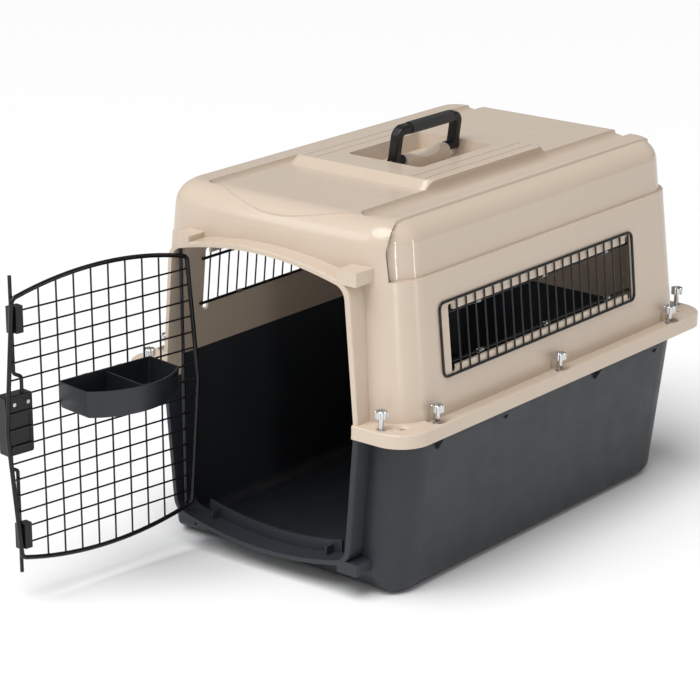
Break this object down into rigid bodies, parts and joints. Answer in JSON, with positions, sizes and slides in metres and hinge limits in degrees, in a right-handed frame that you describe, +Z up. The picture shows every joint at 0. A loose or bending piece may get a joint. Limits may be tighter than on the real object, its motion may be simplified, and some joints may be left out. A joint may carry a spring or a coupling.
{
  "type": "pet transport carrier",
  "caption": "Hard-shell pet carrier, two bolted shells, open wire door with a rod latch and hang-on bowl, side grilles and a folding handle",
  "frame": {"origin": "on the floor, under the middle of the joint flange", "axes": "+Z up, -Y out of the doorway, +X to the right seen from the front"},
  "size_m": [0.5, 0.9947, 0.5581],
  "materials": {
    "cream_shell": "satin moulded plastic",
    "charcoal_shell": "fine-grained moulded plastic",
    "black_wire": "powder-coated wire",
    "black_plastic": "moulded plastic",
    "bowl_plastic": "satin moulded plastic",
    "grip_rubber": "soft grip",
    "chrome_nut": "plated",
    "plated_steel": "zinc plated"
  },
  "bodies": {
    "shell": {"lower_shell": "charcoal_shell", "upper_shell": "cream_shell", "flange_bolts": "plated_steel", "flange_washers": "plated_steel", "flange_hand_nuts": "chrome_nut", "right_grille_frame": "black_wire", "right_grille_wires": "black_wire", "right_grille_retainers": "black_wire", "right_grille_clips": "plated_steel", "left_grille_frame": "black_wire", "left_grille_wires": "black_wire", "left_grille_retainers": "black_wire", "left_grille_clips": "plated_steel"},
    "door": {"door_frame": "black_wire", "door_cross_wires": "black_wire", "door_upright_wires": "black_wire", "door_hinge_rod": "black_wire", "upper_rod_guide": "black_plastic", "lower_rod_guide": "black_plastic", "latch_case": "black_plastic", "latch_cover": "black_plastic", "latch_rivets": "plated_steel", "upper_latch_spring": "plated_steel", "lower_latch_spring": "plated_steel"},
    "upper_latch": {"upper_latch_slider": "black_plastic", "upper_latch_rod": "black_wire"},
    "lower_latch": {"lower_latch_slider": "black_plastic", "lower_latch_rod": "black_wire"},
    "bowl_unit": {"bowl": "bowl_plastic", "bowl_hooks": "bowl_plastic"},
    "handle": {"handle_frame": "black_plastic", "handle_grip": "grip_rubber", "handle_pins": "plated_steel"}
  },
  "joints": [
    {"name": "door_hinge", "type": "hinge", "parent": "shell", "child": "door", "pos_m": [-0.136, -0.346, 0.24], "axis": [0, 0, -1], "range_deg": [-97.8, 52.2]},
    {"name": "upper_latch_slide", "type": "slide", "parent": "door", "child": "upper_latch", "axis": [0, 0, -1], "range_m": [0, 0.018], "stiffness_N_per_m": 150, "springref_m": -0.01, "deforming": ["upper_latch_spring"]},
    {"name": "lower_latch_slide", "type": "slide", "parent": "door", "child": "lower_latch", "axis": [0, 0, 1], "range_m": [0, 0.015], "stiffness_N_per_m": 150, "springref_m": -0.01, "deforming": ["lower_latch_spring"]},
    {"name": "bowl_lift", "type": "slide", "parent": "door", "child": "bowl_unit", "axis": [0.3356, -0.046, 0.9409], "range_m": [0, 0.12]},
    {"name": "handle_fold", "type": "hinge", "parent": "shell", "child": "handle", "pos_m": [0, 0, 0.506], "axis": [0, 1, 0], "range_deg": [-98.5, 81.5]}
  ]
}
